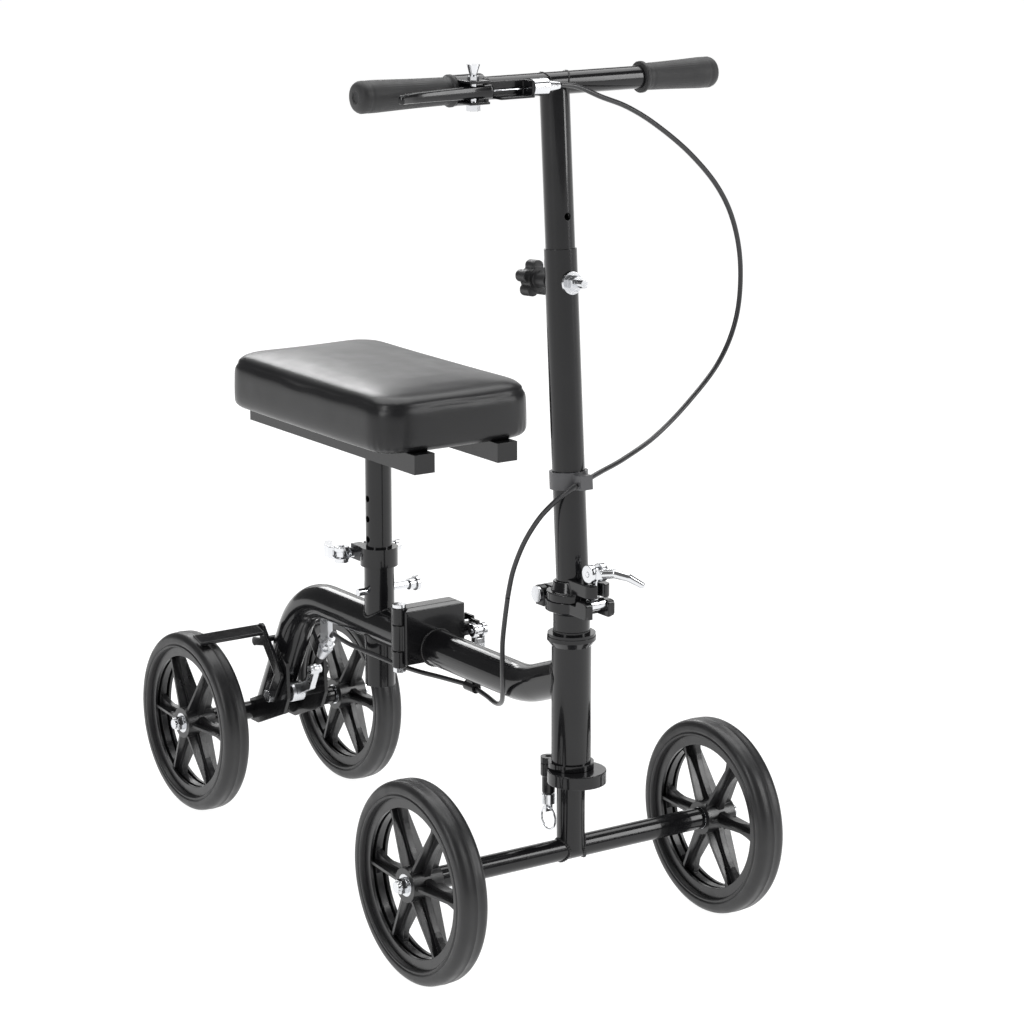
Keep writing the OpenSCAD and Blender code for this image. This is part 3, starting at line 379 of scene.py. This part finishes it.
# ---- brake lever: a forged blade that thins and curls towards its tip ----
blade_line = [(LEVER_X, -0.086), (LEVER_X, -0.107), (LEVER_X + 0.0022, -0.130), (LEVER_X + 0.0042, -0.150),
              (LEVER_X + 0.0085, -0.176), (LEVER_X + 0.0130, -0.188), (LEVER_X + 0.0180, -0.197)]
blade_path = curve_through([(BAR.x + x, y, BAR.z) for x, y in blade_line], 8)
blade = sweep("lever_blade", blade_path, 0.0045, "frame_black", n=24)
rim_points = 24
last = len(blade_path) - 1
for i, c in enumerate(blade_path):
    t = (blade_path[min(i + 1, last)] - blade_path[max(i - 1, 0)]).normalized()
    across = Vector((-t.y, t.x, 0)).normalized()
    along = i / last
    width = (0.0046 - 0.0018 * along) * (1.0 if 0 < i < last else 0.72)
    tall = (0.0065 - 0.0025 * along) * (1.0 if 0 < i < last else 0.72)
    for k in range(rim_points):
        a = 2 * math.pi * k / rim_points
        ca, sa = math.cos(a), math.sin(a)
        blade.data.vertices[i * rim_points + k].co = (
            c + across * width * math.copysign(abs(ca) ** 0.6, ca)
            + Vector((0, 0, tall)) * math.copysign(abs(sa) ** 0.6, sa))
blade.data.update()
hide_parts("brake_lever")
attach(blade, "hand_lever")


# ---- brake cable: four stretches of sleeve, each listed with the two bodies at its ends ----
def mm(points):
    return [Vector(p) * MM for p in points]


CABLE = {
    "cable_upper": ([(285, -11.3, 851.4), (284.5, 10, 848), (284, 37, 837), (281, 70, 825), (279, 105, 806),
                     (274, 150, 775), (268, 190, 738), (264, 214, 700), (262, 225, 655), (262, 221, 605),
                     (265, 198, 563), (271, 155, 527), (280, 108, 500), (294, 60, 486), (306, 24, 480),
                     (311, 8, 477)], "handle", "column"),
    "cable_middle": ([(311, -8, 472), (306, -18, 464), (297, -25, 454), (283, -33, 436), (267, -39, 410),
                      (253, -42, 380), (245, -43, 352)], "column", "fork"),
    "cable_lower": ([(245, -43, 351.5), (240, -43, 328), (233, -41, 302), (224, -35, 272), (211, -26, 248),
                     (193, -15, 228), (170, -6, 219), (146, -1, 219.5), (126, 0, 222)], "fork", "front_frame"),
    "cable_rear": ([(107.4, -1, 223), (70, -9, 223), (44, -18, 224), (10, -23, 224.5), (-30, -24.5, 225),
                    (-75, -24.5, 225), (-105, -20, 224), (-128, -13, 222), (-146, -5, 219.5), (-158, -1, 213)],
                   "front_frame", "rear_frame"),
}
BEND = {"cable_rear": (1, 4)}  # the indices of two of its points, clear of the seat post
for node, (points, start_body, end_body) in CABLE.items():
    points = mm(points)
    first, last = BEND.get(node, (0, -1))
    sleeve = sweep(node + "_sleeve", curve_through(points, 10), 0.0025, "cable")
    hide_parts(node)
    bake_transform(sleeve)


# ---- weld beads ----
def meet(origin, direction, r, axis_point, axis, big_r, n=96):
    """Where a tube of radius r, running along direction, first meets a bigger round one."""
    d, u, v = side_axes(direction)
    k = Vector(axis).normalized()
    path = []
    for i in range(n):
        a = 2 * math.pi * i / n
        o = Vector(origin) + (u * math.cos(a) + v * math.sin(a)) * r
        w = o - Vector(axis_point)
        dp, wp = d - k * d.dot(k), w - k * w.dot(k)
        qa, qb, qc = dp.dot(dp), 2 * dp.dot(wp), wp.dot(wp) - big_r ** 2
        root = math.sqrt(max(0.0, qb * qb - 4 * qa * qc))
        path.append(o + d * ((-qb - root) / (2 * qa)))
    return path


def bead(name, path, body, size=0.0015, pitch=0.0022):
    """A rippled weld bead along a closed path."""
    length = sum((path[i] - path[i - 1]).length for i in range(len(path)))
    fine = curve_through(path, 3, closed=True)
    ripples = max(8, round(length / pitch))
    weld = sweep(name, fine, size, "frame_black", n=10, closed=True,
                 swell=lambda i: 1 + 0.16 * math.sin(2 * math.pi * ripples * i / len(fine)))
    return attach(weld, body)


def ring(centre, axis, r, n=72):
    _, u, v = side_axes(axis)
    return [Vector(centre) + (u * math.cos(2 * math.pi * i / n) + v * math.sin(2 * math.pi * i / n)) * r
            for i in range(n)]


X, Y, Z = Vector((1, 0, 0)), Vector((0, 1, 0)), Vector((0, 0, 1))
bead("weld_socket_top", meet((SEAT_X, 0, 0.36), -Z, 0.0160, (0, 0, FRAME_Z), X, FRAME_R), "rear_frame")
bead("weld_socket_under", meet((SEAT_X, 0, 0.14), Z, 0.0160, (0, 0, FRAME_Z), X, FRAME_R), "rear_frame")
bead("weld_rear_plate", ring((0.0227, 0, FRAME_Z), X, FRAME_R + 0.0003), "rear_frame")
bead("weld_front_plate", ring((0.0523, 0, FRAME_Z), X, FRAME_R + 0.0003), "front_frame")
RISE = math.radians(20)
leg = Vector((math.cos(RISE), 0, math.sin(RISE)))
bend_x = FRONT_X - 0.0596 * math.cos(RISE) - 0.120 * math.sin(RISE)
leg_start = Vector((bend_x + 0.120 * math.sin(RISE), 0, FRAME_Z + 0.120 - 0.120 * math.cos(RISE)))
bead("weld_head", meet(leg_start, leg, FRAME_R, (FRONT_X, 0, 0), Z, 0.0195), "front_frame", 0.0017)
DROP = math.radians(62)
for side, word in ((1, "left"), (-1, "right")):
    bead("weld_rear_beam_" + word, meet((-0.292, side * 0.05, AXLE_Z), Y * -side, 0.010, (-0.292, 0, AXLE_Z),
                                        (math.cos(DROP), 0, math.sin(DROP)), FRAME_R), "rear_frame")
    bead("weld_front_beam_" + word, meet((FRONT_X, side * 0.05, AXLE_Z), Y * -side, 0.011, (FRONT_X, 0, 0), Z,
                                         0.0140), "fork")
    bead("weld_bar_" + word, meet(BAR + Y * side * 0.05, Y * -side, 0.011, BAR, UP, 0.0143), "handle", 0.0008)
bead("weld_post", ring((SEAT_X, 0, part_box("seat_bracket")[0][2]), Z, 0.0141), "seat", 0.0014)


# ---- inner brake wire, and the boot at the rear adjuster ----
wire_y = (-0.044, -0.092)
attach(sweep("front_inner_wire", [Vector((BAR.x + LEVER_X, y, BAR.z)) for y in (wire_y[0], -0.06, -0.075, wire_y[1])],
              0.0008, "chrome", n=8), "handle")
adjuster_foot = Vector((-0.182, 0, 0.1846))
wire_end = Vector((-0.196, 0, 0.166))
pull = (wire_end - adjuster_foot).normalized()
boot_profile = [(0.0050, -0.002)]
for k in range(5):
    boot_profile += [(0.0050 - 0.0004 * k, 0.0026 * k), (0.0036 - 0.0003 * k, 0.0026 * k + 0.0013)]
boot_profile += [(0.0020, 0.0136), (0.0012, 0.0142)]
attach(lathe("adjuster_boot", boot_profile, adjuster_foot, pull, "knob", n=32), "rear_frame")
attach(sweep("rear_inner_wire", [adjuster_foot, adjuster_foot + pull * 0.010, adjuster_foot + pull * 0.016, wire_end],
              0.0008, "chrome", n=8), "rear_frame")


# ---- the knee pad: foam under vinyl, swelled as cloth ----
def rounded_loop(half_x, half_y, r, n=9):
    out = []
    for sx, sy, turn in ((1, 1, 0), (-1, 1, 90), (-1, -1, 180), (1, -1, 270)):
        for k in range(n):
            a = math.radians(turn + 90 * k / (n - 1))
            out.append((sx * (half_x - r) + r * math.cos(a), sy * (half_y - r) + r * math.sin(a)))
    return out


low, high = (Vector(v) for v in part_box("knee_pad"))
middle, half = (low + high) / 2, (high - low) / 2
LEVELS = [(0.0, 0.0070, 0.026), (0.002, 0.0030, 0.028), (0.008, 0.0010, 0.030), (0.040, 0.0005, 0.032),
          (0.0490, 0.0022, 0.032), (0.0540, 0.0065, 0.030), (0.0572, 0.0140, 0.026), (0.0590, 0.0360, 0.022),
          (0.0600, 0.0650, 0.015)]
verts, faces = [], []
for rise, inset, r in LEVELS:
    verts += [(middle.x + x, y, low.z + rise) for x, y in rounded_loop(half.x - inset, half.y - inset, r)]
count = len(verts) // len(LEVELS)
for i in range(len(LEVELS) - 1):
    for k in range(count):
        m = (k + 1) % count
        faces.append((i * count + k, i * count + m, (i + 1) * count + m, (i + 1) * count + k))
faces.append(tuple(reversed(range(count))))
faces.append(tuple((len(LEVELS) - 1) * count + k for k in range(count)))
PAD_VOXEL = 0.005
PAD_PRESSURE = 4
SWELL_LIMIT = 0.0022
SPREAD_PASSES = 120
ROUGH_SHARE = 0.1
pad = piece("knee_cushion", verts, faces, "vinyl")
step = pad.modifiers.new("remesh", "REMESH")
step.mode = "VOXEL"
step.voxel_size = PAD_VOXEL
step = pad.modifiers.new("smooth", "SMOOTH")
step.iterations = 2
baked(pad)
before = [v.co.copy() for v in pad.data.vertices]
held = pad.vertex_groups.new(name="held")
held.add([v.index for v in pad.data.vertices if v.co.z < low.z + 0.007], 1.0, "REPLACE")
cloth = pad.modifiers.new("cloth", "CLOTH")
cloth.settings.use_pressure = True
cloth.settings.uniform_pressure_force = PAD_PRESSURE
cloth.settings.effector_weights.gravity = 0
cloth.settings.vertex_group_mass = "held"
cloth.settings.quality = 5
for f in range(1, 21):
    scene.frame_set(f)
baked(pad)
scene.frame_set(1)
moves = np.array([v.co - start for v, start in zip(pad.data.vertices, before)])
lengths = np.linalg.norm(moves, axis=1, keepdims=True)
moves *= np.minimum(1, SWELL_LIMIT / np.maximum(lengths, 1e-9))
ends = np.array([e.vertices[:] for e in pad.data.edges])
links = np.bincount(ends.ravel(), minlength=len(moves))[:, None]
rough_moves = moves.copy()
for _ in range(SPREAD_PASSES):  # spreads the swelling over its neighbourhood
    near = np.zeros_like(moves)
    np.add.at(near, ends[:, 0], moves[ends[:, 1]])
    np.add.at(near, ends[:, 1], moves[ends[:, 0]])
    moves = 0.5 * moves + 0.5 * near / links
moves = (1 - ROUGH_SHARE) * moves + ROUGH_SHARE * rough_moves
for v, start, move in zip(pad.data.vertices, before, moves):
    v.co = start + Vector(move)
pad.vertex_groups.clear()
step = pad.modifiers.new("finer", "SUBSURF")
step.levels = 1
baked(pad)
# the vinyl's creases: a pressed line under the top edge, and puckers where it wraps the lower corners
crease_z = low.z + 0.0470
for v in pad.data.vertices:
    x, y = v.co.x - middle.x, v.co.y
    out = Vector((max(0.0, abs(x) - half.x + 0.034) * math.copysign(1, x),
                  max(0.0, abs(y) - half.y + 0.034) * math.copysign(1, y), 0))
    if out.length < 0.02:
        continue
    corner = min(abs(out.x), abs(out.y)) / 0.034
    a = math.atan2(out.y, out.x)
    out.normalize()
    wander = 0.0012 * math.sin(31 * x + 17 * y) + 0.0008 * math.sin(83 * x - 61 * y)
    depth = 0.0011 * math.exp(-((v.co.z - crease_z - wander) / 0.0022) ** 2)
    lower = max(0.0, 1 - (v.co.z - low.z) / 0.022)
    depth += 0.0010 * min(1, corner * 2.5) * lower * (0.5 + 0.5 * math.sin(26 * a))
    v.co -= out * depth
pad.data.materials.clear()
pad.data.materials.append(MATERIALS["vinyl"])
pad.data.shade_smooth()
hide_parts("knee_pad")
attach(pad, "seat")


# ---- floor, light and background ----
floor_mesh = bpy.data.meshes.new("floor")
REACH = 60
floor_mesh.from_pydata([(-REACH, -REACH, 0), (REACH, -REACH, 0), (REACH, REACH, 0), (-REACH, REACH, 0)], [],
                       [(0, 1, 2, 3)])
floor = bpy.data.objects.new("floor", floor_mesh)
scene.collection.objects.link(floor)
white = bpy.data.materials.new("studio floor")
white.use_nodes = True
paint = white.node_tree.nodes["Principled BSDF"]
paint.inputs["Base Color"].default_value = (0.22, 0.22, 0.22, 1)
paint.inputs["Roughness"].default_value = 0.9
paint.inputs["Emission Color"].default_value = (1, 1, 1, 1)
paint.inputs["Emission Strength"].default_value = 0.97
floor_mesh.materials.append(white)

world = bpy.data.worlds.new("studio")
scene.world = world
world.use_nodes = True
world.node_tree.nodes["Background"].inputs["Color"].default_value = (1, 1, 1, 1)
world.node_tree.nodes["Background"].inputs["Strength"].default_value = 0.14


def softbox(name, place, target, size, power):
    light = bpy.data.lights.new(name, "AREA")
    light.shape = "RECTANGLE"
    light.size, light.size_y = size
    light.energy = power
    obj = bpy.data.objects.new(name, light)
    obj.location = place
    obj.rotation_euler = (Vector(target) - Vector(place)).to_track_quat("-Z", "Y").to_euler()
    scene.collection.objects.link(obj)


softbox("over", (-0.6, 0.4, 3.0), (0, 0, 0.4), (3.6, 2.6), 85)
softbox("key", (1.0, -3.0, 2.0), (0, 0, 0.45), (0.7, 2.4), 34)
softbox("side", (2.6, 2.2, 1.7), (0, 0, 0.4), (0.8, 2.2), 40)
softbox("back", (-3.6, 2.3, 1.5), (0, 0, 0.5), (3.2, 1.5), 15)
softbox("strip", (-2.75, 0.95, 1.95), (0, 0, 0.3), (0.9, 0.8), 15)
scene.view_settings.view_transform = "Standard"
